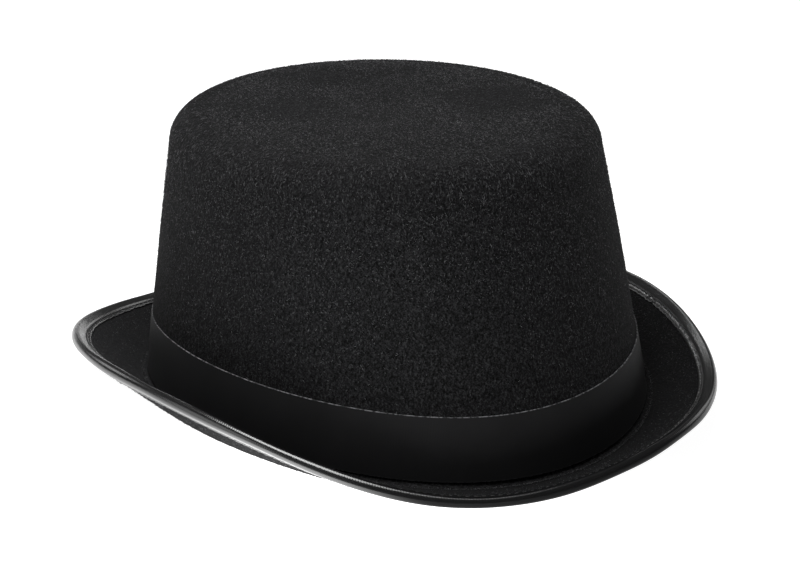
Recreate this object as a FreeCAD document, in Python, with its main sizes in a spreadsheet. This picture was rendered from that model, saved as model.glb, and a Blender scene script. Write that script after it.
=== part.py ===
import FreeCAD, Part
import math
import os
import Sketcher
from FreeCAD import Placement, Rotation, Vector

# Felt top hat, standing on a flat surface.
# +Z is up, -Y is the front, +X is the wearer's left. The origin is on the
# standing surface, under the middle of the hat.

doc = FreeCAD.newDocument("top_hat")

# ---------------------------------------------------------------- dimensions
DIMENSIONS = [
    # crown, measured on its outer face, in mm
    ("crown_base_half_width", 84.5),
    ("crown_base_half_length", 106.5),
    ("crown_top_half_width", 73.3),
    ("crown_top_half_length", 86.6),
    ("crown_height", 101.0),
    ("crown_wall_bulge", 0.5),
    ("shoulder_reach", 13.5),
    ("shoulder_drop", 11.6),
    ("tip_rise", 2.0),
    ("tip_flat_share", 0.62),
    # line where the crown breaks into the brim: it dips front and back
    ("break_level", 5.56),
    ("break_dip", 3.8),
    ("break_reach", 2.5),
    # felt and brim
    ("felt_thickness", 2.2),
    ("brim_width", 25.8),
    # the brim is this share narrower on the wearer's left than on the right
    ("brim_narrowing", 0.055),
    ("brim_curve_front", 1.3),
    ("brim_curve_side", 1.05),
    # height of the brim's edge above the standing surface, every 30 degrees
    # from the front towards the wearer's left
    ("edge_height_at_0", 10.2),
    ("edge_height_at_30", 13.8),
    ("edge_height_at_60", 15.2),
    ("edge_height_at_90", 22.5),
    ("edge_height_at_120", 18.0),
    ("edge_height_at_150", 12.5),
    ("edge_height_at_180", 10.2),
    ("edge_height_at_210", 14.0),
    ("edge_height_at_240", 25.4),
    ("edge_height_at_270", 33.0),
    ("edge_height_at_300", 28.8),
    ("edge_height_at_330", 12.1),
    # satin binding folded over the brim's edge, and the wire inside it
    ("binding_width", 6.6),
    ("binding_thickness", 0.45),
    ("binding_hem_width", 1.5),
    ("binding_hem_thickness", 0.85),
    ("wire_radius", 0.6),
    ("joiner_inner_radius", 0.75),
    ("joiner_outer_radius", 1.0),
    ("joiner_length", 8.0),
    # ribbon round the crown
    ("band_bottom", 1.9),
    ("band_top", 23.5),
    ("band_thickness", 0.5),
    # inside
    ("sweatband_bottom", 0.5),
    ("sweatband_top", 30.5),
    ("sweatband_thickness", 0.9),
    ("lining_bottom", 14.0),
    ("lining_thickness", 0.3),
    ("lining_gap", 0.4),
    ("lining_slack", 1.2),
    ("label_width", 18.0),
    ("label_length", 26.0),
    ("label_thickness", 0.4),
    ("label_drop", 3.0),
    ("label_gap", 1.6),
    # sewing thread
    ("thread_radius", 0.22),
    ("thread_lift", 0.03),
    ("binding_stitch_length", 2.4),
    ("binding_stitch_count", 240),
    ("join_stitch_length", 1.8),
    ("join_stitch_count", 6),
    ("sweatband_stitch_length", 3.0),
    ("sweatband_stitch_count", 120),
    ("sweatband_stitch_height", 3.0),
    ("lining_stitch_length", 3.0),
    ("lining_stitch_count", 90),
    ("lining_seam_inset", 1.0),
    ("label_stitch_spacing", 5.0),
    # clearance between pieces that are sewn or laid against each other
    ("clearance", 0.12),
]

sheet = doc.addObject("Spreadsheet::Sheet", "dimensions")
for row, (alias, value) in enumerate(DIMENSIONS, start=1):
    sheet.set("A%d" % row, alias)
    sheet.set("B%d" % row, str(value))
    sheet.setAlias("B%d" % row, alias)
doc.recompute()


def dim(alias):
    return float(sheet.get(alias))


FELT = dim("felt_thickness")
CLEAR = dim("clearance")
BRIM = dim("brim_width")
SHOULDER_LEVEL = dim("break_level") + dim("crown_height") - dim("shoulder_drop")
TIP_LEVEL = dim("break_level") + dim("crown_height") + dim("tip_rise")
EDGE_HEIGHTS = [dim("edge_height_at_%d" % angle) for angle in range(0, 360, 30)]
AROUND = 48          # points round each oval
BACK = math.pi       # angle of the middle of the back; 0 is the middle of the front


# ------------------------------------------------------- shape of the surfaces
def break_level(angle):
    """Height of the line between crown and brim."""
    return dim("break_level") - dim("break_dip") * math.cos(2 * angle)


def edge_level(angle):
    """Height of the brim's edge, a smooth closed wave through the edge heights."""
    count = len(EDGE_HEIGHTS)
    steps = [2 * math.pi * k / count for k in range(count)]
    level = sum(EDGE_HEIGHTS) / count
    for order in range(1, count // 2 + 1):
        share = 1.0 if order == count // 2 else 2.0
        cosine = share / count * sum(z * math.cos(order * s) for z, s in zip(EDGE_HEIGHTS, steps))
        sine = share / count * sum(z * math.sin(order * s) for z, s in zip(EDGE_HEIGHTS, steps))
        level += cosine * math.cos(order * angle) + sine * math.sin(order * angle)
    return level


def oval(angle, half_width, half_length, level):
    return Vector(half_width * math.sin(angle), -half_length * math.cos(angle), level)


def outward(angle):
    """Level direction square to the oval of the crown's base."""
    half_width = dim("crown_base_half_width")
    half_length = dim("crown_base_half_length")
    return Vector(half_length * math.sin(angle), -half_width * math.cos(angle), 0).normalize()


def wall_point(angle, height, inset):
    """Point of the crown's wall, height above the break line, inset from the outer face."""
    bottom = break_level(angle)
    share = height / (SHOULDER_LEVEL - bottom)
    bulge = 4 * dim("crown_wall_bulge") * share * (1 - share)
    half_width = dim("crown_base_half_width") * (1 - share) + dim("crown_top_half_width") * share
    half_length = dim("crown_base_half_length") * (1 - share) + dim("crown_top_half_length") * share
    return oval(angle, half_width + bulge - inset, half_length + bulge - inset, bottom + height)


def wall_height(angle):
    return SHOULDER_LEVEL - break_level(angle)


def shoulder_point(angle, turn, inset):
    """Point of the rounded shoulder: turn 0 is on the wall, 90 degrees is at the tip."""
    reach = dim("shoulder_reach") - inset
    drop = dim("shoulder_drop") - inset
    back = inset + reach * (1 - math.cos(turn))
    return oval(angle, dim("crown_top_half_width") - back, dim("crown_top_half_length") - back,
                SHOULDER_LEVEL + drop * math.sin(turn))


def tip_point(angle, share, inset):
    """Point of the shallow dome between the shoulder (share 1) and the flat of the tip."""
    flat = dim("tip_flat_share")
    half_width = (dim("crown_top_half_width") - dim("shoulder_reach")) * share
    half_length = (dim("crown_top_half_length") - dim("shoulder_reach")) * share
    fall = dim("tip_rise") * max(0.0, (share - flat) / (1 - flat)) ** 2
    return oval(angle, half_width, half_length, TIP_LEVEL - fall - inset)


def brim_curve(angle):
    middle = (dim("brim_curve_front") + dim("brim_curve_side")) / 2
    swing = (dim("brim_curve_front") - dim("brim_curve_side")) / 2
    return middle + swing * math.cos(2 * angle)


def brim_share(angle):
    """Width of the brim as a share of its widest, on the wearer's right."""
    return 1 - dim("brim_narrowing") * (1 + math.sin(angle)) / 2


def brim_slope(angle, reach):
    """Rise of the brim per millimetre outwards; reach is in millimetres of the widest brim."""
    curve = brim_curve(angle)
    rise = edge_level(angle) - break_level(angle)
    return rise * curve * max(reach / BRIM, 0.0) ** (curve - 1) / (BRIM * brim_share(angle))


def brim_point(angle, reach, depth):
    """Point of the brim, reach outwards from the break line, depth under its top face."""
    rise = (edge_level(angle) - break_level(angle)) * max(reach / BRIM, 0.0) ** brim_curve(angle)
    slope = brim_slope(angle, reach)
    length = math.hypot(1.0, slope)
    base = oval(angle, dim("crown_base_half_width"), dim("crown_base_half_length"), break_level(angle))
    sideways = reach * brim_share(angle) + depth * slope / length
    return base + outward(angle) * sideways + Vector(0, 0, rise - depth / length)


def bend_point(angle, share, inset):
    """Point of the bend between wall (share 0) and brim (share 1), a parabola."""
    reach = dim("break_reach") + inset
    slope = brim_slope(angle, reach)
    start = wall_point(angle, reach, inset)
    end = brim_point(angle, reach, inset)
    base = oval(angle, dim("crown_base_half_width"), dim("crown_base_half_length"), break_level(angle))
    fall = inset * (slope + math.hypot(1.0, slope))
    corner = base - outward(angle) * inset - Vector(0, 0, fall)
    return start * (1 - share) ** 2 + corner * (2 * share * (1 - share)) + end * share ** 2


# --------------------------------------------------------------- solid makers
def ring(point_at):
    """Points of one closed ring; point_at gives the point at an angle."""
    return [point_at(2 * math.pi * k / AROUND) for k in range(AROUND)]


def ring_poles(points):
    curve = Part.BSplineCurve()
    curve.interpolate(Points=points, Parameters=[float(k) for k in range(AROUND + 1)], PeriodicFlag=True)
    return curve


def skin(rings):
    """Smooth face through a run of rings."""
    curves = [ring_poles(points) for points in rings]
    knots_round = curves[0].getKnots()
    mults_round = curves[0].getMultiplicities()
    rows = [curve.getPoles() for curve in curves]
    if len(rows) == 2:
        across = rows
        knots_across, mults_across, degree = [0.0, 1.0], [2, 2], 1
    else:
        steps = [0.0]
        for here, there in zip(rings, rings[1:]):
            gap = sum(p.distanceToPoint(q) for p, q in zip(here, there)) / AROUND
            steps.append(steps[-1] + gap)
        columns = []
        for column in zip(*rows):
            curve = Part.BSplineCurve()
            curve.interpolate(Points=list(column), Parameters=steps)
            columns.append(curve)
        across = list(zip(*[curve.getPoles() for curve in columns]))
        knots_across = columns[0].getKnots()
        mults_across = columns[0].getMultiplicities()
        degree = columns[0].Degree
    surface = Part.BSplineSurface()
    surface.buildFromPolesMultsKnots([list(row) for row in across], mults_across, mults_round,
                                     knots_across, knots_round, False, True, degree, 3)
    return surface.toShape()


def closed_solid(faces):
    shell = Part.makeShell(faces)
    shell.sewShape()
    solid = Part.makeSolid(Part.Shell(shell.Faces))
    if solid.Volume < 0:
        solid.reverse()
    return solid


def ring_solid(runs):
    """Solid ring whose section is a closed loop of runs; each run ends where the next starts."""
    return closed_solid([skin(run) for run in runs])


def flat_face(points):
    return Part.Face(Part.Wire(ring_poles(points).toShape()))


def stitch(start, end):
    """Straight piece of thread from start to end, cut square at both."""
    return Part.makeCylinder(dim("thread_radius"), start.distanceToPoint(end), start, end - start)


def stitch_row(path, count, length):
    """Stitches evenly spaced round a closed path; path gives the point at an angle."""
    small_turn = 0.01
    solids = []
    for k in range(count):
        angle = 2 * math.pi * (k + 0.5) / count
        step = path(angle).distanceToPoint(path(angle + small_turn))
        half = length / 2 * small_turn / step
        solids.append(stitch(path(angle - half), path(angle + half)))
    return solids


def add(label, shape):
    feature = doc.addObject("Part::Feature", label)
    feature.Label = label
    feature.Shape = shape
    feature.Placement = Placement()
    return feature


def origin_plane(body, role):
    return next(item for item in body.Origin.OriginFeatures if item.Role == role)


# ------------------------------------------------------------------ felt body
def felt_rings(inset, edge_reach):
    """Rings from the flat of the tip down the wall and out to the brim's edge."""
    flat = dim("tip_flat_share")
    rings = []
    for share in (flat, 0.5 * flat + 0.5, 0.96):
        rings.append(ring(lambda a: tip_point(a, share, inset)))
    for turn in (75, 60, 45, 30, 15, 0):
        rings.append(ring(lambda a: shoulder_point(a, math.radians(turn), inset)))
    for share in (0.94, 0.8, 0.6, 0.4, 0.2, 0.1):
        rings.append(ring(lambda a: wall_point(a, share * wall_height(a), inset)))
    for share in (0.0, 0.25, 0.5, 0.75, 1.0):
        rings.append(ring(lambda a: bend_point(a, share, inset)))
    first = dim("break_reach") + FELT
    for share in (0.25, 0.5, 0.75, 0.92, 1.0):
        rings.append(ring(lambda a: brim_point(a, first + (edge_reach - first) * share, inset)))
    return rings


def make_felt_body():
    # the felt stops short of the edge, and the wire lies in front of it
    edge_reach = BRIM - 2 * dim("joiner_outer_radius") - dim("binding_thickness") - CLEAR
    outside = felt_rings(0.0, edge_reach)
    inside = felt_rings(FELT, edge_reach)
    faces = [flat_face(outside[0]), skin(outside), skin([outside[-1], inside[-1]]), skin(inside),
             flat_face(inside[0])]
    return add("felt_body", closed_solid(faces))


# -------------------------------------------------------- ribbon on the crown
def wall_band(bottom, top, inset, thickness, rows):
    """Band laid on the crown's wall, from bottom to top above the break line."""
    heights = [bottom + (top - bottom) * k / rows for k in range(rows + 1)]
    outer = [ring(lambda a: wall_point(a, height, inset)) for height in heights]
    inner = [ring(lambda a: wall_point(a, height, inset + thickness)) for height in heights]
    return ring_solid([outer, [outer[-1], inner[-1]], inner, [inner[0], outer[0]]])


def make_hat_band():
    thickness = dim("band_thickness")
    return add("hat_band", wall_band(dim("band_bottom"), dim("band_top"), -CLEAR - thickness,
                                     thickness, 4))


def make_band_join_stitches():
    """Row of stitches up the ribbon's overlap, in the middle of the back."""
    count = int(dim("join_stitch_count"))
    half = dim("join_stitch_length") / 2
    out = CLEAR + dim("band_thickness") + dim("thread_radius") + dim("thread_lift")
    room = dim("band_top") - dim("band_bottom")
    solids = []
    for k in range(count):
        middle = dim("band_bottom") + room * (k + 0.5) / count
        solids.append(stitch(wall_point(BACK, middle - half, -out), wall_point(BACK, middle + half, -out)))
    return add("band_join_stitches", Part.makeCompound(solids))


# ------------------------------------------------------------ edge of the brim
def edge_turn_point(angle, turn, radius):
    """Point round the middle of the edge's roll: turn 0 is up, 180 degrees is down."""
    reach = BRIM - dim("joiner_outer_radius") - dim("binding_thickness")
    depth = FELT / 2
    slope = brim_slope(angle, reach)
    length = math.hypot(1.0, slope)
    along = (outward(angle) + Vector(0, 0, slope)) * (1 / length)
    up = (Vector(0, 0, 1) - outward(angle) * slope) * (1 / length)
    middle = brim_point(angle, reach, depth)
    return middle + along * (radius * math.sin(turn)) + up * (radius * math.cos(turn))


def edge_rings(radius, start, end):
    """Ovals round the edge's roll, every 30 degrees of turn from start to end."""
    turns = [math.radians(turn) for turn in range(start, end + 1, 30)]
    return [ring(lambda a: edge_turn_point(a, turn, radius)) for turn in turns]


def make_brim_binding():
    thin = dim("binding_thickness")
    thick = dim("binding_hem_thickness")
    inner_radius = FELT / 2 + CLEAR
    outer_radius = inner_radius + thin
    middle = BRIM - dim("joiner_outer_radius") - thin
    hem_end = BRIM - dim("binding_width")
    hem_start = hem_end + dim("binding_hem_width")

    def leg(side, reaches, above):
        depth = -above if side > 0 else FELT + above
        return [ring(lambda a: brim_point(a, reach, depth)) for reach in reaches]

    def roll(radius):
        return edge_rings(radius, 0, 180)

    flat = [hem_start, (hem_start + middle) / 2]
    top_outer = leg(1, flat, CLEAR + thin)
    top_inner = leg(1, flat, CLEAR)
    low_outer = leg(-1, flat, CLEAR + thin)
    low_inner = leg(-1, flat, CLEAR)
    outside = top_outer + roll(outer_radius) + low_outer[::-1]
    inside = top_inner + roll(inner_radius) + low_inner[::-1]
    runs = [outside]
    low_hem = leg(-1, [hem_start, hem_end], CLEAR + thick)
    runs += [[outside[-1], low_hem[0]], [low_hem[0], low_hem[1]]]
    low_foot = leg(-1, [hem_end], CLEAR)[0]
    runs += [[low_hem[1], low_foot], [low_foot, inside[-1]]]
    runs += [inside]
    top_foot = leg(1, [hem_end], CLEAR)[0]
    top_hem = leg(1, [hem_start, hem_end], CLEAR + thick)
    runs += [[inside[0], top_foot], [top_foot, top_hem[1]]]
    runs += [[top_hem[1], top_hem[0]], [top_hem[0], outside[0]]]
    return add("brim_binding", ring_solid(runs))


def make_binding_stitches():
    """Lockstitch through the binding's hems: one row on top, one underneath."""
    reach = BRIM - dim("binding_width") + dim("binding_hem_width") / 2
    off = CLEAR + dim("binding_hem_thickness") + dim("thread_radius") + dim("thread_lift")
    count = int(dim("binding_stitch_count"))
    length = dim("binding_stitch_length")
    top = stitch_row(lambda a: brim_point(a, reach, -off), count, length)
    low = stitch_row(lambda a: brim_point(a, reach, FELT + off), count, length)
    return add("binding_stitches", Part.makeCompound(top + low))


def make_brim_wire():
    radius = dim("wire_radius")
    over = edge_rings(radius, 0, 180)
    under = edge_rings(radius, 180, 360)
    return add("brim_wire", ring_solid([over, under]))


def make_wire_joiner():
    """Crimped sleeve where the ends of the wire meet at the back: a turned tube."""
    body = doc.addObject("PartDesign::Body", "wire_joiner")
    sketch = body.newObject("Sketcher::SketchObject", "joiner_section")
    sketch.AttachmentSupport = [(origin_plane(body, "YZ_Plane"), "")]
    sketch.MapMode = "FlatFace"
    for name, alias in (("outer", "joiner_outer_radius"), ("inner", "joiner_inner_radius")):
        edge = sketch.addGeometry(Part.Circle(Vector(0, 0, 0), Vector(0, 0, 1), dim(alias)), False)
        sketch.addConstraint(Sketcher.Constraint("Coincident", edge, 3, -1, 1))
        number = sketch.addConstraint(Sketcher.Constraint("Radius", edge, dim(alias)))
        sketch.renameConstraint(number, name)
        sketch.setExpression("Constraints." + name, "dimensions." + alias)
    pad = body.newObject("PartDesign::Pad", "joiner_tube")
    pad.Profile = sketch
    pad.Midplane = True
    pad.setExpression("Length", "dimensions.joiner_length")
    body.Label = "wire_joiner"
    ahead = edge_turn_point(BACK, 0, 0)
    body.Placement = Placement(ahead, Rotation())
    return body


# --------------------------------------------------------------------- inside
LINING_INSET = FELT + dim("lining_gap")
SWEATBAND_INSET = LINING_INSET + dim("lining_thickness") + CLEAR


def make_sweatband():
    return add("sweatband", wall_band(dim("sweatband_bottom"), dim("sweatband_top"), SWEATBAND_INSET,
                                      dim("sweatband_thickness"), 4))


def make_sweatband_stitches():
    inset = SWEATBAND_INSET + dim("sweatband_thickness") + dim("thread_radius") + dim("thread_lift")
    height = dim("sweatband_stitch_height")
    row = stitch_row(lambda a: wall_point(a, height, inset), int(dim("sweatband_stitch_count")),
                     dim("sweatband_stitch_length"))
    return add("sweatband_stitches", Part.makeCompound(row))


def lining_point(angle, turn, extra):
    """Shoulder of the lining, which hangs a little free of the felt there."""
    inset = LINING_INSET + dim("lining_slack") * math.sin(turn) + extra
    return shoulder_point(angle, turn, inset)


def lining_rings(extra):
    low = dim("lining_bottom")
    inset = LINING_INSET + extra

    def side(share):
        return ring(lambda a: wall_point(a, low + (wall_height(a) - low) * share, inset))

    rings = [side(share) for share in (0.0, 0.25, 0.5, 0.75, 0.9)]
    for turn in (0, 20, 40, 60, 80):
        rings.append(ring(lambda a: lining_point(a, math.radians(turn), extra)))
    return rings


def make_lining_side():
    outer = lining_rings(0.0)
    inner = lining_rings(dim("lining_thickness"))
    return add("lining_side", ring_solid([outer, [outer[-1], inner[-1]], inner, [inner[0], outer[0]]]))


def make_lining_tip():
    """Oval satin piece that closes the top of the lining."""
    body = doc.addObject("PartDesign::Body", "lining_tip")
    sketch = body.newObject("Sketcher::SketchObject", "tip_oval")
    sketch.AttachmentSupport = [(origin_plane(body, "XY_Plane"), "")]
    sketch.MapMode = "FlatFace"
    long_half = dim("crown_top_half_length") - dim("shoulder_reach")
    short_half = dim("crown_top_half_width") - dim("shoulder_reach")
    ellipse = Part.Ellipse(Vector(0, long_half, 0), Vector(short_half, 0, 0), Vector(0, 0, 0))
    edge = sketch.addGeometry(ellipse, False)
    sketch.exposeInternalGeometry(edge)
    long_axis, short_axis = 1, 2
    sketch.addConstraint(Sketcher.Constraint("Coincident", edge, 3, -1, 1))
    sketch.addConstraint(Sketcher.Constraint("PointOnObject", long_axis, 1, -2))
    long_size = Sketcher.Constraint("Distance", long_axis, 1, long_axis, 2, 2 * long_half)
    sketch.renameConstraint(sketch.addConstraint(long_size), "long_axis")
    short_size = Sketcher.Constraint("Distance", short_axis, 1, short_axis, 2, 2 * short_half)
    sketch.renameConstraint(sketch.addConstraint(short_size), "short_axis")
    sketch.setExpression("Constraints.long_axis",
                         "2 * (dimensions.crown_top_half_length - dimensions.shoulder_reach)")
    sketch.setExpression("Constraints.short_axis",
                         "2 * (dimensions.crown_top_half_width - dimensions.shoulder_reach)")
    pad = body.newObject("PartDesign::Pad", "tip_cloth")
    pad.Profile = sketch
    pad.setExpression("Length", "dimensions.lining_thickness")
    body.Label = "lining_tip"
    level = lining_point(0, math.radians(80), 0.0).z - dim("lining_thickness") - 4 * CLEAR
    body.Placement = Placement(Vector(0, 0, level), Rotation())
    return body


def make_lining_seam_stitches(level):
    """Stitches of the seam between the lining's tip and side."""
    off = dim("thread_radius") + dim("thread_lift")
    half_width = dim("crown_top_half_width") - dim("shoulder_reach") - dim("lining_seam_inset")
    half_length = dim("crown_top_half_length") - dim("shoulder_reach") - dim("lining_seam_inset")
    row = stitch_row(lambda a: oval(a, half_width, half_length, level - off),
                     int(dim("lining_stitch_count")), dim("lining_stitch_length"))
    return add("lining_seam_stitches", Part.makeCompound(row))


# ------------------------------------------------------------------ care label
def label_hinge():
    """Middle of the label's sewn top edge, at the back of the sweatband."""
    inset = SWEATBAND_INSET + dim("sweatband_thickness")
    point = wall_point(BACK, dim("sweatband_top") - dim("label_drop"), inset)
    return point - Vector(0, dim("label_gap"), 0)


def make_care_label():
    """Blank satin care label, sewn along its top edge and hanging free."""
    body = doc.addObject("PartDesign::Body", "care_label")
    sketch = body.newObject("Sketcher::SketchObject", "label_outline")
    sketch.AttachmentSupport = [(origin_plane(body, "XZ_Plane"), "")]
    sketch.MapMode = "FlatFace"
    half = dim("label_width") / 2
    low = -dim("label_length")
    corners = [Vector(-half, low, 0), Vector(half, low, 0), Vector(half, 0, 0), Vector(-half, 0, 0)]
    for start, end in zip(corners, corners[1:] + corners[:1]):
        sketch.addGeometry(Part.LineSegment(start, end), False)
    for k in range(4):
        sketch.addConstraint(Sketcher.Constraint("Coincident", k, 2, (k + 1) % 4, 1))
    for k in (0, 2):
        sketch.addConstraint(Sketcher.Constraint("Horizontal", k))
    for k in (1, 3):
        sketch.addConstraint(Sketcher.Constraint("Vertical", k))
    sketch.addConstraint(Sketcher.Constraint("Symmetric", 2, 1, 2, 2, -1, 1))
    number = sketch.addConstraint(Sketcher.Constraint("DistanceX", 0, 1, 0, 2, dim("label_width")))
    sketch.renameConstraint(number, "width")
    sketch.setExpression("Constraints.width", "dimensions.label_width")
    number = sketch.addConstraint(Sketcher.Constraint("DistanceY", 1, 1, 1, 2, dim("label_length")))
    sketch.renameConstraint(number, "length")
    sketch.setExpression("Constraints.length", "dimensions.label_length")
    pad = body.newObject("PartDesign::Pad", "label_cloth")
    pad.Profile = sketch
    pad.Midplane = True
    pad.setExpression("Length", "dimensions.label_thickness")
    body.Label = "care_label"
    body.Placement = Placement(label_hinge(), Rotation())
    return body


def make_label_stitches():
    """Threads that hold the label's top edge to the sweatband."""
    hinge = label_hinge()
    radius = dim("thread_radius")
    sweatband_face = SWEATBAND_INSET + dim("sweatband_thickness")
    height = hinge.z - 2 * radius - break_level(BACK)
    solids = []
    spacing = dim("label_stitch_spacing")
    near = hinge.y + dim("label_thickness") / 2 + 2 * CLEAR
    for across in (-spacing, 0.0, spacing):
        aside = BACK - across / dim("crown_base_half_width")
        face = wall_point(aside, height, sweatband_face)
        solids.append(stitch(Vector(face.x, near, face.z), Vector(face.x, face.y - CLEAR, face.z)))
    return add("label_stitches", Part.makeCompound(solids))


# ------------------------------------------------------------------- assembly
pieces = [
    make_felt_body(),
    make_hat_band(),
    make_band_join_stitches(),
    make_brim_binding(),
    make_binding_stitches(),
    make_brim_wire(),
    make_wire_joiner(),
    make_sweatband(),
    make_sweatband_stitches(),
    make_lining_side(),
    make_lining_tip(),
    make_care_label(),
    make_label_stitches(),
]
lining_tip = next(piece for piece in pieces if piece.Label == "lining_tip")
pieces.append(make_lining_seam_stitches(lining_tip.Placement.Base.z))
doc.recompute()

for item in doc.Objects:
    for word in ("Invalid", "Error"):
        if word in item.State:
            raise RuntimeError("%s is %s" % (item.Label, word))
for piece in pieces:
    if piece.Shape.isNull() or not piece.Shape.isValid():
        raise RuntimeError("%s has no valid shape" % piece.Label)
    if not piece.Shape.Solids:
        raise RuntimeError("%s has no solid" % piece.Label)

os.makedirs("parts", exist_ok=True)
for piece in pieces:
    piece.Shape.exportStep(os.path.join("parts", piece.Label + ".step"))
    box = piece.Shape.BoundBox
    print("%-22s solids %3d  volume %9.1f  x %.2f %.2f  y %.2f %.2f  z %.2f %.2f" % (
        piece.Label, len(piece.Shape.Solids), piece.Shape.Volume,
        box.XMin, box.XMax, box.YMin, box.YMax, box.ZMin, box.ZMax))
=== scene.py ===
import math

import bpy
import numpy as np
from mathutils import Matrix, Vector


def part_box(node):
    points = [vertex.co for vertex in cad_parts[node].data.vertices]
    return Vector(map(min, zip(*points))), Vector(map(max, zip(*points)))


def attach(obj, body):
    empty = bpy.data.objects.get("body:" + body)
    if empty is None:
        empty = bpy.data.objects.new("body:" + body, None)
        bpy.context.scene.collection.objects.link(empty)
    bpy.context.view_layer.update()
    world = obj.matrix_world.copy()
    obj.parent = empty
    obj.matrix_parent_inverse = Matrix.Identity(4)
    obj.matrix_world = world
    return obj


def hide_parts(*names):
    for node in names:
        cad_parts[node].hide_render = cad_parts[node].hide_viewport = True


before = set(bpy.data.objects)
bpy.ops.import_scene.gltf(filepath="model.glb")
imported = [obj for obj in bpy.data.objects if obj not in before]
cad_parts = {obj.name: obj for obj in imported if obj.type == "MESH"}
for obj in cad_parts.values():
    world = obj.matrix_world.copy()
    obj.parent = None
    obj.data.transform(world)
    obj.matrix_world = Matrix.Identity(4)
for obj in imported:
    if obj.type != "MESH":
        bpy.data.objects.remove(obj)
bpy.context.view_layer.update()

# Felt top hat. +Z is up, -Y is the front, +X is the wearer's left.
# Shapes are worked out in millimetres and turned into metres when a mesh is made.
# Angles go round the hat: 0 is the middle of the front, 90 degrees the wearer's
# left, 180 degrees the middle of the back.
MM = 0.001
TAU = 2 * math.pi
BACK = math.pi

# ------------------------------------------------------------- the hat's shape
# These repeat the CAD model's own dimensions.
BASE_HALF_WIDTH, BASE_HALF_LENGTH = 84.5, 106.5
TOP_HALF_WIDTH, TOP_HALF_LENGTH = 73.3, 86.6
WALL_BULGE = 0.5
SHOULDER_REACH, SHOULDER_DROP = 13.5, 11.6
TIP_RISE, TIP_FLAT = 2.0, 0.62
BREAK_LEVEL, BREAK_DIP, BREAK_REACH = 5.56, 3.8, 2.5
FELT = 2.2
BRIM = 25.8
BRIM_NARROWING = 0.055                   # the brim is this share narrower on the wearer's left
BRIM_CURVE_FRONT, BRIM_CURVE_SIDE = 1.3, 1.05
EDGE_HEIGHTS = (10.2, 13.8, 15.2, 22.5, 18.0, 12.5, 10.2, 14.0, 25.4, 33.0, 28.8, 12.1)
ROLL_REACH = BRIM - 1.45                 # the wire and the roll round it are centred here
FELT_EDGE = BRIM - 2.57                  # the felt ends here, just inside the wire
CLOTH_GAP = 0.12                         # air between layers that are sewn together
LINING_GAP = 0.4                         # the lining hangs this far inside the felt
HEM_START = BRIM - 6.15                  # the binding's folded inner edge
HEM_WIDTH = 1.9                          # from there to the groove that its stitches lie in
LEG_WIDTH = 4.75                         # from there to where its roll starts
UNDER_TUCK = 0.6                         # how much further out its folded edge lies underneath

TIP_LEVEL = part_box("felt_body")[1][2] / MM - 0.08
SHOULDER_LEVEL = TIP_LEVEL - TIP_RISE - SHOULDER_DROP
LINING_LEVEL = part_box("lining_tip")[0][2] / MM
BAND_BOTTOM, BAND_TOP = 1.9, 23.5
SWEATBAND_BOTTOM, SWEATBAND_TOP = 0.5, 30.5


def break_level(a):
    """Height of the line between crown and brim."""
    return BREAK_LEVEL - BREAK_DIP * np.cos(2 * a)


def edge_level(a):
    """Height of the brim's edge: the smooth closed wave through EDGE_HEIGHTS."""
    count = len(EDGE_HEIGHTS)
    wave = np.fft.rfft(EDGE_HEIGHTS) / count
    level = wave[0].real + 0 * a
    for order in range(1, count // 2):
        level = level + 2 * (wave[order] * np.exp(1j * order * a)).real
    return level + (wave[count // 2] * np.exp(1j * (count // 2) * a)).real


def smooth(value):
    """0 below 0, 1 above 1, and an even S between."""
    value = np.clip(value, 0, 1)
    return value * value * (3 - 2 * value)


def bell(value, middle, width):
    return np.exp(-((value - middle) / width) ** 2)


def wander(a, seed, orders=(2, 5), size=1.0):
    """Slow uneven wave round the hat, between about -size and size."""
    draw = np.random.default_rng(seed)
    total = 0 * a
    for order in range(orders[0], orders[1] + 1):
        total = total + draw.normal() * np.cos(order * a + draw.uniform(0, TAU))
    return size * total / math.sqrt(orders[1] - orders[0] + 1)


def oval(a, half_width, half_length, level):
    return np.stack([half_width * np.sin(a), -half_length * np.cos(a), level + 0 * a], -1)


def outward(a):
    """Level direction square to the oval of the crown's base."""
    side = np.stack([BASE_HALF_LENGTH * np.sin(a), -BASE_HALF_WIDTH * np.cos(a), 0 * a], -1)
    return side / np.linalg.norm(side, axis=-1, keepdims=True)


def raised(level):
    """Straight up by level, an amount for each angle."""
    level = np.asarray(level, float)
    return np.stack([0 * level, 0 * level, level], -1)


def wall(a, height, out):
    """Point of the crown's wall, height above the break line, out from the felt's outer face."""
    share = height / (SHOULDER_LEVEL - break_level(a))
    extra = 4 * WALL_BULGE * share * (1 - share) + out
    return oval(a, BASE_HALF_WIDTH * (1 - share) + TOP_HALF_WIDTH * share + extra,
                BASE_HALF_LENGTH * (1 - share) + TOP_HALF_LENGTH * share + extra,
                break_level(a) + height)


def wall_height(a):
    return SHOULDER_LEVEL - break_level(a)


def shoulder(a, turn, out):
    """Point of the rounded shoulder: turn 0 is on the wall, 90 degrees is on the tip."""
    reach, drop = SHOULDER_REACH + out, SHOULDER_DROP + out
    back = -out + reach * (1 - np.cos(turn))
    return oval(a, TOP_HALF_WIDTH - back, TOP_HALF_LENGTH - back,
                SHOULDER_LEVEL + drop * np.sin(turn))


def tip(a, share, out):
    """Point of the shallow dome of the tip: share 0 is its middle."""
    fall = TIP_RISE * np.maximum(0, (share - TIP_FLAT) / (1 - TIP_FLAT)) ** 2
    return oval(a, (TOP_HALF_WIDTH - SHOULDER_REACH) * share,
                (TOP_HALF_LENGTH - SHOULDER_REACH) * share, TIP_LEVEL - fall + out)


def brim_curve(a):
    return ((BRIM_CURVE_FRONT + BRIM_CURVE_SIDE) / 2
            + (BRIM_CURVE_FRONT - BRIM_CURVE_SIDE) / 2 * np.cos(2 * a))


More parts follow.
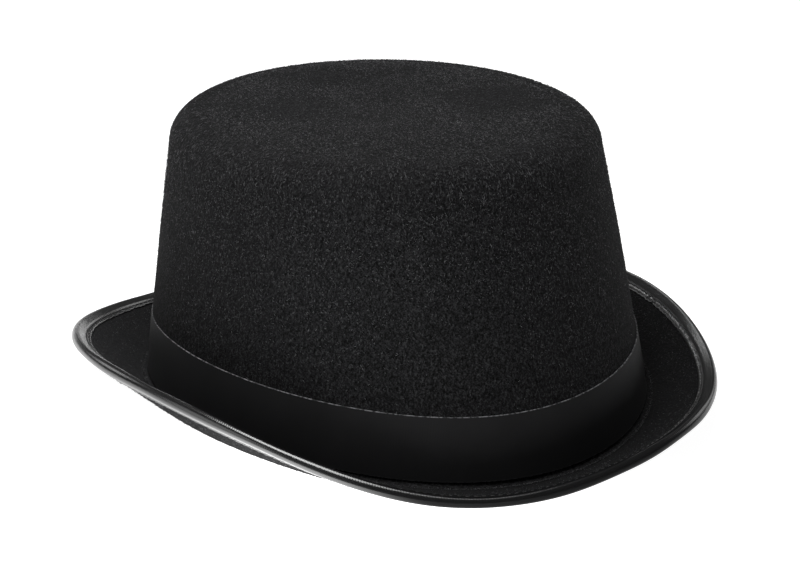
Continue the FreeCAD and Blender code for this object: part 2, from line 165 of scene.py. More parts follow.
def brim_share(a):
    """Width of the brim as a share of its widest."""
    return 1 - BRIM_NARROWING * (1 + np.sin(a)) / 2


def brim_slope(a, reach):
    """Rise of the brim per millimetre outwards; reach is in millimetres of the widest brim."""
    curve = brim_curve(a)
    rise = edge_level(a) - break_level(a)
    return rise * curve * (np.maximum(reach, 0) / BRIM) ** (curve - 1) / (BRIM * brim_share(a))


def brim(a, reach, over):
    """Point of the brim, reach outwards from the break line, over its top face."""
    flat_reach = np.minimum(reach, ROLL_REACH)
    slope = brim_slope(a, flat_reach)
    length = np.hypot(1.0, slope)
    rise = (edge_level(a) - break_level(a)) * (np.maximum(flat_reach, 0) / BRIM) ** brim_curve(a)
    beyond = (reach - flat_reach) / length
    base = oval(a, BASE_HALF_WIDTH, BASE_HALF_LENGTH, break_level(a))
    sideways = flat_reach * brim_share(a) + beyond - over * slope / length
    return base + outward(a) * sideways[..., None] + raised(rise + beyond * slope + over / length)


def bend(a, share, out):
    """Point of the bend between wall (share 0) and brim (share 1)."""
    reach = BREAK_REACH - out
    slope = brim_slope(a, reach)
    start = wall(a, reach, out)
    end = brim(a, reach + 0 * a, out + 0 * a)
    base = oval(a, BASE_HALF_WIDTH, BASE_HALF_LENGTH, break_level(a))
    corner = base + outward(a) * out + raised(out * (slope + np.hypot(1.0, slope)))
    return start * (1 - share) ** 2 + corner * (2 * share * (1 - share)) + end * share ** 2


def ripple(points, wavelength, size, seed):
    """Smooth random field over space, one number per point, about -size to size."""
    draw = np.random.default_rng(seed)
    total = np.zeros(points.shape[:-1])
    waves = 14
    for _ in range(waves):
        direction = draw.normal(size=3)
        direction /= np.linalg.norm(direction)
        length = wavelength * draw.uniform(0.7, 1.6)
        total += np.sin(points @ direction * (TAU / length) + draw.uniform(0, TAU))
    return size * total / math.sqrt(waves)


def swell(points, amount):
    """Moves a grid of points along its own normals by an amount for each point."""
    along = np.roll(points, -1, 1) - np.roll(points, 1, 1)
    across = np.gradient(points, axis=0)
    normal = np.cross(along, across)
    length = np.linalg.norm(normal, axis=-1, keepdims=True)
    return points + normal / np.maximum(length, 1e-9) * amount[..., None]


# ------------------------------------------------------------------ mesh makers
def make_piece(name, points, faces, look, edge=None):
    """Smooth mesh piece that rides on the hat; edge is a number for each point, for its material."""
    mesh = bpy.data.meshes.new(name)
    mesh.from_pydata((np.asarray(points).reshape(-1, 3) * MM).tolist(), [], faces)
    mesh.polygons.foreach_set("use_smooth", [True] * len(mesh.polygons))
    if edge is not None:
        mesh.attributes.new("edge", "FLOAT", "POINT").data.foreach_set("value", np.ravel(edge))
    mesh.materials.append(look.material)
    mesh.validate()
    mesh.update()
    piece = bpy.data.objects.new(name, mesh)
    bpy.context.collection.objects.link(piece)
    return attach(piece, "hat")


def grid_faces(rows, columns, wrap_rows, wrap_columns, start=0):
    """Faces of a grid of points, row by row, which may close on itself either way."""
    faces = []
    for i in range(rows if wrap_rows else rows - 1):
        here, there = start + i * columns, start + (i + 1) % rows * columns
        for j in range(columns if wrap_columns else columns - 1):
            k = (j + 1) % columns
            faces.append((here + j, there + j, there + k, here + k))
    return faces


def closed_shell(name, rows, first_pole, last_pole, look, edge=None):
    """Shell of rings with a point closing each end; edge is a number for each ring."""
    count, around = rows.shape[:2]
    points = np.concatenate([rows.reshape(-1, 3), [first_pole, last_pole]])
    faces = grid_faces(count, around, False, True)
    first, last, tail = count * around, count * around + 1, (count - 1) * around
    for j in range(around):
        k = (j + 1) % around
        faces.append((first, j, k))
        faces.append((last, tail + k, tail + j))
    if edge is not None:
        edge = np.concatenate([np.repeat(edge, around), [edge[0], edge[-1]]])
    return make_piece(name, points, faces, look, edge)


def hoop(name, sections, look, edge=None):
    """Closed hoop: sections is a grid of rings round the hat by points round the section."""
    faces = grid_faces(sections.shape[0], sections.shape[1], True, True)
    return make_piece(name, sections, faces, look, edge)


def strip(name, sections, look, edge=None):
    """Strip with two cut ends: one section per step along it."""
    steps, around = sections.shape[:2]
    faces = grid_faces(steps, around, False, True)
    faces.append(tuple(range(around)))
    faces.append(tuple((steps - 1) * around + j for j in reversed(range(around))))
    return make_piece(name, sections, faces, look, edge)


def thread(name, paths, radius, look, sides=6):
    """Many short threads in one piece; each path is a run of points, thinned at both ends."""
    points, faces = [], []
    turns = TAU * np.arange(sides) / sides
    for path in paths:
        steps = len(path)
        tangent = np.gradient(path, axis=0)
        tangent /= np.linalg.norm(tangent, axis=1, keepdims=True)
        aside = np.cross(tangent, [0.13, 0.21, 0.97])
        aside /= np.linalg.norm(aside, axis=1, keepdims=True)
        other = np.cross(tangent, aside)
        thick = radius * (0.35 + 0.65 * np.sin(np.pi * np.linspace(0.08, 0.92, steps)) ** 0.5)
        rim = (aside[:, None] * np.cos(turns)[None, :, None]
               + other[:, None] * np.sin(turns)[None, :, None])
        start = len(points) * sides * steps
        points.append(path[:, None] + rim * thick[:, None, None])
        faces += grid_faces(steps, sides, False, True, start)
        faces.append(tuple(start + j for j in reversed(range(sides))))
        faces.append(tuple(start + (steps - 1) * sides + j for j in range(sides)))
    return make_piece(name, np.array(points), faces, look)


def stitch_paths(place, count, share, rise, steps=7):
    """Paths of a row of stitches: place(angle, over) is a point above the cloth."""
    paths = []
    for k in range(count):
        middle = TAU * (k + 0.5) / count
        turn = np.linspace(-share / 2, share / 2, steps) * TAU / count
        over = rise * np.cos(np.linspace(-1, 1, steps) * math.pi / 2) - 0.12
        paths.append(place(middle + turn, over))
    return paths


# -------------------------------------------------------------------- materials
class Look:
    """A procedural material: one Principled shader and the nodes in front of it."""

    def __init__(self, name, **values):
        self.material = bpy.data.materials.new(name)
        self.material.use_nodes = True
        self.tree = self.material.node_tree
        self.shader = self.tree.nodes["Principled BSDF"]
        for socket, value in values.items():
            self.shader.inputs[socket.replace("_", " ")].default_value = value
        self.place = self.node("TexCoord").outputs["Object"]

    def node(self, kind, settings=None, **inputs):
        node = self.tree.nodes.new("ShaderNode" + kind)
        for key, value in (settings or {}).items():
            setattr(node, key, value)
        for key, value in inputs.items():
            self.feed(node.inputs[key.replace("_", " ")], value)
        return node

    def feed(self, socket, value):
        if isinstance(value, bpy.types.NodeSocket):
            self.tree.links.new(value, socket)
        else:
            socket.default_value = value

    def math(self, operation, first, second=0.0, third=0.0):
        node = self.tree.nodes.new("ShaderNodeMath")
        node.operation = operation
        self.feed(node.inputs[0], first)
        self.feed(node.inputs[1], second)
        self.feed(node.inputs[2], third)
        return node.outputs[0]

    def stretched(self, scale, turn=(0, 0, 0)):
        """Coordinates in metres, turned and then scaled by axis."""
        node = self.node("Mapping", {"vector_type": "TEXTURE"}, Vector=self.place, Rotation=turn,
                         Scale=[1 / part for part in scale])
        return node.outputs["Vector"]

    def noise(self, scale, detail=2.0, stretch=(1, 1, 1), turn=(0, 0, 0)):
        node = self.node("TexNoise", Vector=self.stretched(stretch, turn), Scale=scale, Detail=detail)
        return node.outputs["Fac"]

    def around(self):
        """Angle round the hat, from minus to plus half a turn."""
        parts = self.node("SeparateXYZ", Vector=self.place).outputs
        return self.math("ARCTAN2", parts["X"], self.math("MULTIPLY", parts["Y"], -1.0))

    def ramp(self, value, *stops):
        node = self.tree.nodes.new("ShaderNodeValToRGB")
        self.feed(node.inputs["Fac"], value)
        marks = node.color_ramp.elements
        while len(marks) < len(stops):
            marks.new(0.5)
        for mark, (position, colour) in zip(marks, stops):
            mark.position = position
            mark.color = (*grey(colour), 1)
        return node.outputs["Color"]

    def blend(self, share, first, second):
        node = self.tree.nodes.new("ShaderNodeMix")
        node.data_type = "RGBA"
        self.feed(node.inputs["Factor"], share)
        self.feed(node.inputs[6], first)
        self.feed(node.inputs[7], second)
        return node.outputs[2]

    def finish(self, colour, roughness, height, depth, strength=1.0):
        """Feeds colour, roughness and a bump of the given depth in metres."""
        self.feed(self.shader.inputs["Base Color"], colour)
        self.feed(self.shader.inputs["Roughness"], roughness)
        bump = self.node("Bump", Strength=strength, Distance=depth, Height=height)
        self.feed(self.shader.inputs["Normal"], bump.outputs["Normal"])
        return self


def grey(value):
    """A colour from one number, very slightly blue, or the colour itself."""
    if isinstance(value, (int, float)):
        return (value, value, value * 1.04)
    return value


def felt_look(name, dark, light, pressed):
    """Needled felt: tufts and fine curly fibres that lie every way in the surface.
    Where the mesh's edge number is 1, on the brim, the felt is pressed smoother and darker. On the wearer's
    right, where the pressed felt faces up, it is painted paler: a painted sheen."""
    look = Look(name, Specular_IOR_Level=0.06, Sheen_Weight=0.004, Sheen_Roughness=0.45)
    lie = ((0.0, 0.0, 0.0), (0.6, 0.2, 0.4), (-0.7, 0.4, 1.3), (1.4, 0.1, 2.2))
    tufts = None
    for number, turn in enumerate(lie):
        strand = look.noise(1300 + 300 * number, 2.0, (1, 1, 0.42), turn)
        share = look.math("MULTIPLY", strand, 1 / len(lie))
        tufts = share if tufts is None else look.math("ADD", tufts, share)
    grain = look.noise(2600, 1.0)
    cloud = look.noise(30, 3.0)
    height = look.math("ADD", look.math("MULTIPLY", tufts, 0.85), look.math("MULTIPLY", grain, 0.15))
    base = look.blend(cloud, (*grey(light * 0.85), 1), (*grey(light * 1.15), 1))
    cover = look.ramp(height, (0.40, 0.0), (0.5, 0.25), (0.60, 1.0))
    rough = look.blend(cover, (*grey(dark), 1), base)
    smoother = look.blend(cover, (*grey(pressed * 0.4), 1), (*grey(pressed * 1.8), 1))
    # painted sheen: the pressed felt is painted paler on the wearer's right, most where it faces up, in
    # place of the sheen it shows there
    painted_sheen = look.blend(cover, (*grey(pressed * 1.6), 1), (*grey(pressed * 4.4), 1))
    right = look.math("MAXIMUM", look.math("MULTIPLY", look.math("SINE", look.around()), -1.0), 0.0)
    normal = look.node("NewGeometry").outputs["Normal"]
    above = look.math("MAXIMUM", look.node("SeparateXYZ", Vector=normal).outputs["Z"], 0.0)
    painted_sheen_share = look.math("MULTIPLY", look.math("POWER", right, 2.0), above)
    smoother = look.blend(painted_sheen_share, smoother, painted_sheen)
    brim_share = look.node("Attribute", {"attribute_name": "edge"}).outputs["Fac"]
    colour = look.blend(brim_share, rough, smoother)
    return look.finish(colour, 0.95, height, 0.0012, 1.0)


def nap_look(name, base):
    """Loose fibres, some paler than others by the mesh's edge number."""
    look = Look(name, Specular_IOR_Level=0.2)
    shade = look.node("Attribute", {"attribute_name": "edge"}).outputs["Fac"]
    colour = look.ramp(shade, (0.2, base * 0.2), (0.8, base), (1.0, base * 2.2))
    return look.finish(colour, 0.8, look.noise(3000), 0.0001, 0.2)


def satin_look(name, base, rough, level, pitch, depth, sheen=0.0):
    """Satin tape: fine threads run round the hat, with fine ribs across at the given pitch."""
    look = Look(name, Specular_IOR_Level=level, Sheen_Weight=sheen, Sheen_Roughness=0.4)
    angle = look.around()
    ribs = look.math("SINE", look.math("MULTIPLY", angle, TAU * 97 / pitch))
    threads = look.noise(3000, 2.0, (0.3, 0.3, 1.0))
    height = look.math("ADD", look.math("MULTIPLY", ribs, 0.3), threads)
    cloud = look.noise(60, 2.0)
    colour = look.blend(cloud, (*grey(base * 0.8), 1), (*grey(base * 1.25), 1))
    gloss = look.math("MULTIPLY_ADD", cloud, 0.12, rough)
    return look.finish(colour, gloss, height, depth, 0.6), colour


FELT_LOOK = felt_look("wool_felt", 0.0015, 0.032, 0.011)
NAP_LOOK = nap_look("felt_fibres", 0.075)
RIBBON_LOOK, ribbon_colour = satin_look("ribbon_satin", 0.0155, 0.5, 0.06, 0.5, 0.00005, 0.012)
BINDING_LOOK, _ = satin_look("binding_satin", 0.006, 0.17, 0.65, 0.7, 0.00004)
BINDING_LOOK.shader.inputs["IOR"].default_value = 1.6
# the binding's reflection is painted darker where the mesh's edge number is 1: a painted shade, at the
# front, for the floor in the hat's shadow that it would mirror
reflection_shade_share = BINDING_LOOK.node("Attribute", {"attribute_name": "edge"}).outputs["Fac"]
BINDING_LOOK.feed(BINDING_LOOK.shader.inputs["Specular IOR Level"],
                  BINDING_LOOK.math("MULTIPLY_ADD", reflection_shade_share, -0.6, 0.65))
SWEATBAND_LOOK, _ = satin_look("grosgrain", 0.011, 0.6, 0.3, 1.1, 0.0002)
LINING_LOOK, _ = satin_look("lining_satin", 0.012, 0.3, 0.5, 0.4, 0.00003)
LABEL_LOOK, _ = satin_look("label_satin", 0.72, 0.4, 0.4, 0.5, 0.00004)


def thread_look(name, base, rough):
    look = Look(name, Specular_IOR_Level=0.4, Sheen_Weight=0.2)
    twist = look.noise(5200, 2.0, (1, 1, 0.5), (0.6, 0.2, 0.5))
    colour = look.blend(twist, (*grey(base * 0.7), 1), (*grey(base * 1.4), 1))
    return look.finish(colour, rough, twist, 0.0001, 0.7)


THREAD_LOOK = thread_look("black_thread", 0.014, 0.5)
WHITE_THREAD_LOOK = thread_look("white_thread", 0.7, 0.6)


def metal_look(name, base, rough):
    look = Look(name, Metallic=1.0)
    drawn = look.noise(900, 3.0)
    colour = look.blend(drawn, (*(0.8 * c for c in base), 1), (*base, 1))
    return look.finish(colour, look.math("MULTIPLY_ADD", drawn, rough, 0.5), drawn, 0.00003, 0.5)


WIRE_LOOK = metal_look("drawn_steel", (0.55, 0.55, 0.56), 0.35)
SLEEVE_LOOK = metal_look("crimped_brass", (0.62, 0.5, 0.27), 0.4)

# the ribbon's selvedges are paler threads with lint, and their paleness is also a painted highlight where
# the edges catch the light
edge_share = RIBBON_LOOK.node("Attribute", {"attribute_name": "edge"}).outputs["Fac"]
selvedge_lint_and_highlight = RIBBON_LOOK.ramp(RIBBON_LOOK.noise(900, 2.0), (0.4, 0.02), (0.62, 0.2))
RIBBON_LOOK.feed(RIBBON_LOOK.shader.inputs["Base Color"],
                 RIBBON_LOOK.blend(edge_share, ribbon_colour, selvedge_lint_and_highlight))

# -------------------------------------------------------------------- felt body
AROUND = 600
ANGLES = np.arange(AROUND) * TAU / AROUND


def felt_rows(out):
    """Rings from near the middle of the tip out to the brim's edge, over one face of the felt."""
    rows = [tip(ANGLES, share, out) for share in (0.06, 0.2, 0.35, 0.5, 0.62, 0.7, 0.78, 0.86, 0.93)]
    rows += [shoulder(ANGLES, math.radians(turn), out) for turn in range(90, 0, -8)]
    rows += [wall(ANGLES, wall_height(ANGLES) * share, out) for share in np.linspace(1.0, 0.06, 26)]
    rows += [bend(ANGLES, share, out) for share in np.linspace(0, 1, 9)]
    first = BREAK_REACH - out
    rows += [brim(ANGLES, reach + 0 * ANGLES, out + 0 * ANGLES)
             for reach in np.linspace(first, FELT_EDGE, 14)[1:]]
    return np.array(rows)


def make_felt():
    outside, inside = felt_rows(0.0), felt_rows(-FELT)
    rows = np.concatenate([outside, inside[::-1]])
    uneven = (ripple(rows, 70, 0.16, 11) + ripple(rows, 22, 0.06, 12) + ripple(rows, 3.4, 0.03, 13))
    count = len(outside)
    level = np.linspace(0, 1, count)
    held = 1 - smooth((level - 0.9) * 10)
    held = np.concatenate([held, held[::-1] * -1])
    rows = swell(rows, uneven * held[:, None] * -1)
    pressed = smooth((np.arange(count) - (count - 20)) / 5)
    pressed = np.concatenate([pressed, pressed[::-1]])
    return closed_shell("felt_hood", rows, rows[0].mean(0), rows[-1].mean(0), FELT_LOOK, pressed)


felt = make_felt()
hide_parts("felt_body")


def make_nap(name, count, seed, surface, spread, radius):
    """Short loose fibres that lie on the felt and lift off it at one end, each a thin spike.
    surface(angle, place, out) gives points, and spread is how far a fibre runs in angle and place."""
    draw = np.random.default_rng(seed)
    a, place = draw.uniform(0, TAU, count), np.sqrt(draw.uniform(0, 1, count))
    heading = draw.uniform(0, TAU, count)
    length = draw.uniform(0.4, 1.0, count)
    lift = 0.08 + 0.5 * draw.uniform(0, 1, count) ** 3
    start = surface(a, place, -0.04 + 0 * a)
    end = surface(a + spread[0] * np.cos(heading) * length,
                  place + spread[1] * np.sin(heading) * length, lift)
    along = end - start
    aside = np.cross(along, draw.normal(size=(count, 3)))
    aside *= radius / np.linalg.norm(aside, axis=1, keepdims=True)
    other = np.cross(along / np.linalg.norm(along, axis=1, keepdims=True), aside)
    root = start + 0.3 * along
    corners = [root + aside, root - 0.5 * aside + 0.87 * other, root - 0.5 * aside - 0.87 * other]
    points = np.stack([start] + corners + [end], 1)
    pattern = ((0, 2, 1), (0, 3, 2), (0, 1, 3), (1, 2, 4), (2, 3, 4), (3, 1, 4))
    faces = [tuple(5 * k + j for j in face) for k in range(count) for face in pattern]
    return make_piece(name, points, faces, NAP_LOOK, np.repeat(draw.uniform(0, 1, count), 5))


def crown_surface(a, place, out):
    """Felt of the crown's wall and shoulder: place 0 is at the ribbon, 1 is the tip's edge."""
    height = wall_height(a)
    turn = (place - 0.86) / 0.14 * math.pi / 2
    low = BAND_TOP - 0.4
    level = low + (height - low) * np.minimum(place / 0.86, 1.0)
    over_ribbon = 0.65 * smooth((BAND_TOP + 0.8 - level) / 0.7)
    on_wall = wall(a, level, out + over_ribbon)
    on_shoulder = shoulder(a, np.clip(turn, 0, math.pi / 2), out)
    return np.where((place > 0.86)[:, None], on_shoulder, on_wall)


def tip_surface(a, place, out):
    return tip(a, np.abs(place), out)


def brim_surface(a, place, out):
    """Upper face of the brim, from the ribbon to the binding."""
    return brim(a, BREAK_REACH + (HEM_START - BREAK_REACH) * np.abs(place), out)


def foot_surface(a, place, out):
    """Bend of the felt where the ribbon's lower edge has rubbed up the nap."""
    return brim(a, 0.9 + 1.6 * np.abs(place), out + 0.1)


def underbrim_surface(a, place, out):
    return brim(a, BREAK_REACH + (HEM_START - BREAK_REACH) * np.abs(place), -FELT - out)


wall_nap = make_nap("felt_fibres_wall", 33000, 51, crown_surface, (0.013, 0.014), 0.09)
tip_nap = make_nap("felt_fibres_tip", 32000, 52, tip_surface, (0.022, 0.018), 0.10)
brim_nap = make_nap("felt_fibres_brim", 9000, 53, brim_surface, (0.009, 0.05), 0.06)
underbrim_nap = make_nap("felt_fibres_underbrim", 16000, 54, underbrim_surface, (0.010, 0.06), 0.09)
foot_nap = make_nap("felt_fibres_foot", 7000, 55, foot_surface, (0.010, 0.5), 0.07)


# ------------------------------------------------------------------------ ribbon
def selvedged(count):
    """Places across a ribbon, -1 to 1 and closer together near its edges, and how much
    of a selvedge each is in, 0 to 1."""
    across = np.sin(np.linspace(-1, 1, count) * math.pi / 2)
    edge = smooth((np.abs(across) - 0.978) / 0.012)
    return across, edge


def make_ribbon():
    overlap = 0.09
    steps = 900
    turn = np.linspace(-overlap, TAU + overlap, steps)
    a = BACK + turn - 0.02
    middle, half = (BAND_TOP + BAND_BOTTOM) / 2, (BAND_TOP - BAND_BOTTOM) / 2
    lap = smooth((turn - (TAU - overlap * 1.6)) / (overlap * 0.5))
    across, edge = selvedged(30)
    sections, marks = [], []
    sag = wander(a % TAU, 3, (2, 7), 0.10)
    # its top sits a little lower on the wearer's left
    droop = 0.8 * bell(np.sin((a - math.radians(68)) / 2), 0, 0.26)
    # painted highlight: the selvedges are paler round the sides of the hat where their edges catch the
    # light; the least share is the threads' own paler tone
    top_selvedge_tone_and_highlight = 0.35 + 0.65 * smooth((1.15 + np.cos(a - math.radians(35))) / 0.6)
    foot_selvedge_tone_and_highlight = 0.4 + 0.6 * bell(np.sin((a - math.radians(55)) / 2), 0, 0.3)
    for side, run in ((1, range(len(across))), (-1, reversed(range(len(across))))):
        for k in run:
            bead = 0.08 * edge[k]
            belly = 0.12 * (1 - across[k] ** 2)
            thick = 0.34 * (1 - 0.75 * float(abs(across[k]) > 0.999)) + bead + belly
            out = CLOTH_GAP + lap * 0.5 + (thick if side > 0 else 0.0)
            height = (middle + half * across[k] + sag * (0.6 + 0.4 * across[k])
                      - droop * (1 + across[k]))
            ends = 0.18 * bell(turn, TAU + overlap, 0.004)
            sections.append(wall(a, height, out + ends * side * 0.5))
            marks.append(edge[k] * (top_selvedge_tone_and_highlight if across[k] > 0 else foot_selvedge_tone_and_highlight))
    sections = np.array(sections).transpose(1, 0, 2)
    return strip("hat_ribbon", sections, RIBBON_LOOK, np.array(marks).T)


ribbon = make_ribbon()
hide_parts("hat_band")


def make_join_stitches():
    """Small slanted hand stitches up the ribbon's overlap."""
    count = 9
    paths = []
    for k in range(count):
        height = BAND_BOTTOM + 1.2 + (BAND_TOP - BAND_BOTTOM - 2.4) * k / (count - 1)
        share = np.linspace(0, 1, 7)
        a = BACK + 0.068 + 0.010 * (share - 0.5)
        over = 0.98 + 0.22 * np.sin(math.pi * share)
        paths.append(wall(a, height + 0.9 * (share - 0.5), over))
    return thread("ribbon_join_stitches", paths, 0.16, THREAD_LOOK)


join = make_join_stitches()
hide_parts("band_join_stitches")

# ----------------------------------------------------------------------- binding
STITCHES = 260
BIND_COLUMNS = STITCHES * 6
BIND_ANGLES = np.arange(BIND_COLUMNS) * TAU / BIND_COLUMNS


def binding_reach(a, t, tuck=0.0):
    """Reach of a point t outwards from the folded edge; the tape is a little wider on the left."""
    return HEM_START + t + (tuck - 0.65 * np.sin(a)) * (1 - t / LEG_WIDTH)


def binding_over(t, pinch, firm=1.0):
    """Height of the binding's outer face over the felt's, t outwards from the folded edge.
    Where firm is less than 1 the hem and the groove of its stitches are flatter."""
    hem = (0.52 + 0.30 * firm) * (1 - (np.clip(1.0 - t / 0.9, 0, 1)) ** 2) ** 0.5
    body = 0.62 + 0.52 * smooth((t - HEM_WIDTH - 0.2) / 2.2)
    dip = 0.5 * firm * np.exp(-np.abs((t - HEM_WIDTH) / 0.55) ** 2.4)
    crest = 0.18 * bell(t, 1.0, 0.45) * pinch
    return np.minimum(hem + crest, body + 0.2 + crest) - dip * (0.85 + 0.15 * pinch)


def firmness(a):
    """The binding's hem is pulled down harder on the wearer's right than on the left."""
    return 1 - 0.5 * bell(np.sin((a - math.radians(80)) / 2), 0, 0.42)


# places across one leg of the binding, closer together where its hem is folded and sewn
LEG_SHARES = (0, 0.01, 0.03, 0.07, 0.12, 0.18, 0.24, 0.3, 0.35, 0.38, 0.41, 0.45, 0.5, 0.57, 0.66,
              0.77, 0.88, 1)


def binding_path(a, pinch, shift, tuck=0.0):
    """Outer face of one leg of the binding, from its folded hem to the roll."""
    rows = []
    for share in LEG_SHARES:
        t = share * LEG_WIDTH
        over = binding_over(t, pinch, firmness(a))
        if t == 0.0:
            over = over * 0 + 0.06
        rows.append((binding_reach(a, t, tuck) + shift * max(0.0, 1 - t / HEM_WIDTH), over))
    return rows


def make_binding():
    a = BIND_ANGLES
    phase = STITCHES * a
    # the cloth puckers between the stitches, more in some places than in others
    strength = 0.8 + 0.5 * wander(a, 21, (5, 30), 0.6)
    pinch = strength * (0.8 * np.cos(phase + 0.5 * np.sin(phase * 0.5))
                        + 0.4 * wander(a, 22, (60, 130), 1.0))
    shift = 0.16 * pinch + wander(a, 23, (4, 16), 0.14)
    uneven = wander(a, 24, (3, 24), 0.10)
    roll_turns = np.radians(np.arange(6, 175, 12))
    top = binding_path(a, pinch, shift)
    low = binding_path(a, np.roll(pinch, 3), -shift, UNDER_TUCK)
    lap = 0.38 * smooth((a - (BACK - 0.02)) / 0.003) * smooth((BACK + 0.10 - a) / 0.02)
    # painted shade: the binding reflects less at the front, its lower half most, standing in for the
    # shadowed floor under the brim that it would mirror
    front_shade = smooth((np.cos(a - 0.14) - 0.62) / 0.22)
    rows, reflection_shade = [], []
    for reach, over in top:
        share = np.clip((reach - HEM_START - HEM_WIDTH) / 2.5, 0, 1)
        rows.append(brim(a, reach, over + uneven * share + lap))
        reflection_shade.append(0.6 * front_shade)
    start = HEM_START + LEG_WIDTH
    roll_over = top[-1][1] + uneven
    end = ROLL_REACH + 1.75 - 0.3 * np.sin(a)
    for turn in roll_turns:
        half = FELT / 2 + roll_over + lap
        reach = start + (end + lap - start) * np.sin(turn) ** 0.9
        rows.append(brim(a, reach, -FELT / 2 + half * np.cos(turn)))
        reflection_shade.append((0.6 + 0.4 * smooth((turn - 1.3) / 0.6)) * front_shade)
    for reach, over in reversed(low):
        share = np.clip((reach - HEM_START - HEM_WIDTH) / 2.5, 0, 1)
        rows.append(brim(a, reach, -FELT - over - uneven * share - lap))
        reflection_shade.append(front_shade)
    # back along the inner face, against the felt
    inner = []
    for t in (0.2, 2.1, 4.4):
        inner.append(brim(a, binding_reach(a, t, UNDER_TUCK), -FELT - CLOTH_GAP + 0 * a))
    radius = FELT / 2 + CLOTH_GAP
    for turn in (135, 90, 45):
        angle = math.radians(turn)
        inner.append(brim(a, ROLL_REACH + 0.2 + radius * math.sin(angle) + 0 * a,
                          -FELT / 2 + radius * math.cos(angle) + 0 * a))
    for t in (4.4, 2.1, 0.2):
        inner.append(brim(a, binding_reach(a, t), CLOTH_GAP + 0 * a))
    reflection_shade += [front_shade] * len(inner)
    return hoop("brim_binding_tape", np.array(rows + inner), BINDING_LOOK, np.array(reflection_shade))


binding = make_binding()
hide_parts("brim_binding")


def make_binding_stitches():
    def top(a, over):
        cloth = binding_over(HEM_WIDTH, 0.0, firmness(a))
        return brim(a, binding_reach(a, HEM_WIDTH), cloth + 0.10 + over)

    def low(a, over):
        cloth = binding_over(HEM_WIDTH, 0.0, firmness(a))
        return brim(a, binding_reach(a, HEM_WIDTH, UNDER_TUCK), -FELT - cloth - 0.10 - over)

    paths = stitch_paths(top, STITCHES, 0.82, 0.26) + stitch_paths(low, STITCHES, 0.82, 0.26)
    return thread("binding_threads", paths, 0.19, THREAD_LOOK)


binding_threads = make_binding_stitches()
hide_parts("binding_stitches")


# ------------------------------------------------------------------------ inside
LINING_OUT = -(FELT + LINING_GAP)
SWEATBAND_OUT = LINING_OUT - 0.3 - CLOTH_GAP


def make_sweatband():
    overlap = 0.07
    steps = 900
    turn = np.linspace(-overlap, TAU + overlap, steps)
    a = BACK + turn + 0.35
    lap = smooth((turn - (TAU - overlap * 1.4)) / (overlap * 0.5))
    across = np.sin(np.linspace(-1, 1, 26) * math.pi / 2)
    middle, half = (SWEATBAND_TOP + SWEATBAND_BOTTOM) / 2, (SWEATBAND_TOP - SWEATBAND_BOTTOM) / 2
    lean = 0.25 + wander(a % TAU, 31, (3, 9), 0.14)
    sections = []
    for side in (1, -1):
        run = across if side > 0 else across[::-1]
        for v in run:
            share = (v + 1) / 2
            fold = 0.30 * smooth((0.14 - share) / 0.06)
            rounding = 1 - 0.8 * float(abs(v) > 0.999)
            thick = (0.46 + fold) * rounding
            out = SWEATBAND_OUT - lap * 0.42 - lean * share ** 2 - (thick if side > 0 else 0.0)
            height = middle + half * v + wander(a % TAU, 32, (3, 11), 0.12) * share
            sections.append(wall(a, height, out))
    sections = np.array(sections).transpose(1, 0, 2)[:, ::-1]
    return strip("sweatband_grosgrain", sections, SWEATBAND_LOOK)


sweatband = make_sweatband()
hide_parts("sweatband")


def make_sweatband_stitches():
    def place(a, over):
        return wall(a, SWEATBAND_BOTTOM + 2.6, SWEATBAND_OUT - 0.78 - over)

    return thread("sweatband_threads", stitch_paths(place, 200, 0.8, 0.22), 0.17, THREAD_LOOK)


sweatband_threads = make_sweatband_stitches()
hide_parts("sweatband_stitches")

LINING_COLUMNS = 720
LINING_ANGLES = np.arange(LINING_COLUMNS) * TAU / LINING_COLUMNS


def gathers(a):
    """Small soft folds of the lining where it is gathered to its tip."""
    fold = np.abs(np.sin(19 * a + 1.1 * np.sin(5 * a + 1.0) + 0.7 * np.sin(11 * a))) ** 1.4
    fine = 0.5 + 0.5 * np.sin(61 * a + 1.3 * np.sin(9 * a))
    return 0.75 * fold + 0.25 * fine


def lining_rows(thick):
    a = LINING_ANGLES
    rows = []
    for share in np.linspace(0, 1, 22):
        height = 14.0 + (wall_height(a) - 14.0) * share
        belly = 0.35 * gathers(a) * share ** 3 + 0.4 * smooth(share * 3) * (0.5 + wander(a, 41, (2, 9), 0.3))
        rows.append(wall(a, height, LINING_OUT - thick - np.maximum(belly, 0.0)))
    for turn in range(6, 84, 7):
        angle = math.radians(turn)
        slack = 0.75 + 1.2 * math.sin(angle)
        depth = (0.35 + 1.35 * math.sin(angle) ** 1.5) * gathers(a)
        rows.append(shoulder(a, angle, LINING_OUT - thick - slack - depth))
    return rows


def make_lining_side():
    outer, inner = lining_rows(0.0), lining_rows(0.22)
    return hoop("lining_wall_satin", np.array(outer + inner[::-1])[::-1], LINING_LOOK)


lining_side = make_lining_side()
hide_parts("lining_side")


